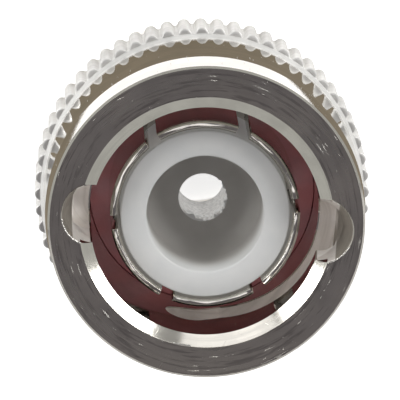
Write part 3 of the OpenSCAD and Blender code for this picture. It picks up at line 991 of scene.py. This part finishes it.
def staged_mesh(name, corners, faces, material):
    mesh = bpy.data.meshes.new(name)
    mesh.from_pydata(corners, [], faces)
    mesh.materials.append(material)
    made = new_object(name, mesh)
    return made


def make_floor():
    """A pale floor that glows round the plug and fades with distance."""
    g = Graph("floor")
    tint = g.mix(clouds(g, FLOOR_CLOUD, 2.0), *FLOOR_COLOURS)
    away, _, _, _ = axis_terms(g)
    glow = g.ramp(away, *FLOOR_FADE, FLOOR_GLOW, FLOOR_FAR_GLOW)
    material = g.finish(Base_Color=tint, Roughness=FLOOR_ROUGH,
                        Emission_Color=(1, 1, 1), Emission_Strength=glow)
    half, z = FLOOR_SIZE / 2, BOX_LOW.z
    corners = [(-half, -half, z), (half, -half, z), (half, half, z), (-half, half, z)]
    staged_mesh("floor", corners, [(0, 1, 2, 3)], material)


def make_ring_card():
    """A brown ring on the floor that only reflections show: it gives the barrel its brown band."""
    g = Graph("ring_card")
    darker = tuple(part * RING_CARD_DIM for part in RING_CARD_COLOUR)
    glow = g.mix(clouds(g, RING_CARD_CLOUD, 2.0), RING_CARD_COLOUR, darker)
    material = g.finish(Base_Color=(0, 0, 0), Roughness=0.9, Emission_Color=glow,
                        Emission_Strength=1.0)
    steps = RING_CARD_STEPS
    z = BOX_LOW.z + RING_CARD_LIFT
    corners = [polar(r, turn, z) for turn in turns(steps) for r in RING_CARD_RADII]
    faces = [(2 * i, 2 * i + 1, (2 * i + 3) % (2 * steps), (2 * i + 2) % (2 * steps))
             for i in range(steps)]
    card = staged_mesh("ring_card", corners, faces, material)
    card.visible_camera = False
    card.visible_diffuse = False
    card.visible_shadow = False
    card.visible_transmission = False


def soft_light(name, azimuth, elevation, width, height, radiance):
    """A rectangular soft light whose place and size are angles, as the part sees them."""
    across, up = math.radians(azimuth), math.radians(elevation)
    toward = Vector((math.cos(across) * math.cos(up), math.sin(across) * math.cos(up), math.sin(up)))
    data = bpy.data.lights.new(name, "AREA")
    data.shape = "RECTANGLE"
    data.size = 2 * LIGHT_AWAY * math.tan(math.radians(width / 2))
    data.size_y = 2 * LIGHT_AWAY * math.tan(math.radians(height / 2))
    data.energy = radiance * math.pi * data.size * data.size_y
    lamp = new_object(name, data)
    lamp.location = FACE + toward * LIGHT_AWAY
    lamp.rotation_euler = toward.to_track_quat("Z", "Y").to_euler()
    lamp.visible_camera = False
    return lamp


def inner_light(name, radiance, lit_piece):
    """A soft light over the mouth that only reaches one piece deep inside."""
    lamp = soft_light(name, azimuth=90, elevation=87, width=22, height=22, radiance=radiance)
    lit = bpy.data.collections.new(name + "_reach")
    lit.objects.link(bpy.data.objects[lit_piece])
    lamp.light_linking.receiver_collection = lit


def make_world():
    """A dark ceiling over pale walls: the mating face mirrors the one, the sides the other."""
    world = bpy.data.worlds.new("studio")
    bpy.context.scene.world = world
    world.use_nodes = True
    nodes, links = world.node_tree.nodes, world.node_tree.links
    nodes.clear()
    direction = nodes.new("ShaderNodeTexCoord")
    split = nodes.new("ShaderNodeSeparateXYZ")
    links.new(direction.outputs["Generated"], split.inputs[0])
    fade = nodes.new("ShaderNodeMapRange")
    fade.interpolation_type = "SMOOTHSTEP"
    links.new(split.outputs["Z"], fade.inputs["Value"])
    fade.inputs["From Min"].default_value = math.sin(math.radians(WALL_TOP))
    fade.inputs["From Max"].default_value = math.sin(math.radians(CEILING_EDGE))
    shade = nodes.new("ShaderNodeMix")
    shade.data_type = "RGBA"
    links.new(fade.outputs["Result"], shade.inputs[0])
    shade.inputs[6].default_value = (*WALL_COLOUR, 1)
    shade.inputs[7].default_value = (*CEILING_COLOUR, 1)
    rays = nodes.new("ShaderNodeLightPath")
    seen = nodes.new("ShaderNodeMix")
    seen.data_type = "RGBA"
    links.new(rays.outputs["Is Camera Ray"], seen.inputs[0])
    links.new(shade.outputs[2], seen.inputs[6])
    seen.inputs[7].default_value = (1, 1, 1, 1)
    background = nodes.new("ShaderNodeBackground")
    links.new(seen.outputs[2], background.inputs[0])
    output = nodes.new("ShaderNodeOutputWorld")
    links.new(background.outputs[0], output.inputs[0])


def sides_of(back):
    """The camera's right and up directions, when it looks away from back."""
    right = Vector((0, 1, 0)).cross(back).normalized()
    return right, back.cross(right)


def make_camera():
    data = bpy.data.cameras.new("camera")
    data.lens = CAMERA_LENS
    data.sensor_width = CAMERA_SENSOR
    data.clip_start, data.clip_end = CAMERA_CLIP
    camera = new_object("camera", data)
    place = FACE + CAMERA_BACK * CAMERA_AWAY
    right, up = sides_of(CAMERA_BACK)
    aim = FACE + right * CAMERA_AIM_RIGHT + up * CAMERA_AIM_UP
    back = (place - aim).normalized()
    right, up = sides_of(back)
    camera.matrix_world = Matrix((
        (right.x, up.x, back.x, place.x),
        (right.y, up.y, back.y, place.y),
        (right.z, up.z, back.z, place.z),
        (0, 0, 0, 1)))
    bpy.context.scene.camera = camera


make_camera()

# The coupling nut and what rides with it
nut_finish = nut_nickel()
make_nut(nut_finish)
make_grip(nut_finish)
make_burrs(nickel("burr_nickel", BURR_COLOUR, DULL_ROUGH))

# The plug body and what sits in it
make_plug_body(nickel("body_nickel", BODY_COLOUR, BODY_ROUGH))
make_gasket(rubber("red_rubber", RED_COLOURS, RED_ROUGH))
make_insulator(white_plastic())
spring_metal = nickel("spring_metal", SPRING_COLOUR, DULL_ROUGH)
make_wave_washer(spring_metal)
dress("retaining_ring", spring_metal)

# The cable end
washer_metal = nickel("washer_metal", WASHER_COLOUR, DULL_ROUGH)
for washer in ("thrust_washer", "braid_clamp", "slip_washer"):
    dress(washer, washer_metal)
dress("clamp_nut", nickel("clamp_nickel", NICKEL_COLOUR, CLAMP_ROUGH))
dress("cable_gasket", rubber("black_rubber", BLACK_COLOURS, BLACK_ROUGH))

make_world()
make_floor()
make_ring_card()
soft_light("right_light", azimuth=32, elevation=33, width=36, height=16, radiance=8.0)
soft_light("left_light", azimuth=153, elevation=33, width=26, height=16, radiance=8.0)
soft_light("middle_light", azimuth=102, elevation=36, width=46, height=14, radiance=1.1)
inner_light("gasket_light", 10.0, "gasket_dressed")
inner_light("finger_light", 1.2, "plug_body_dressed")

bpy.context.scene.view_settings.view_transform = "Standard"
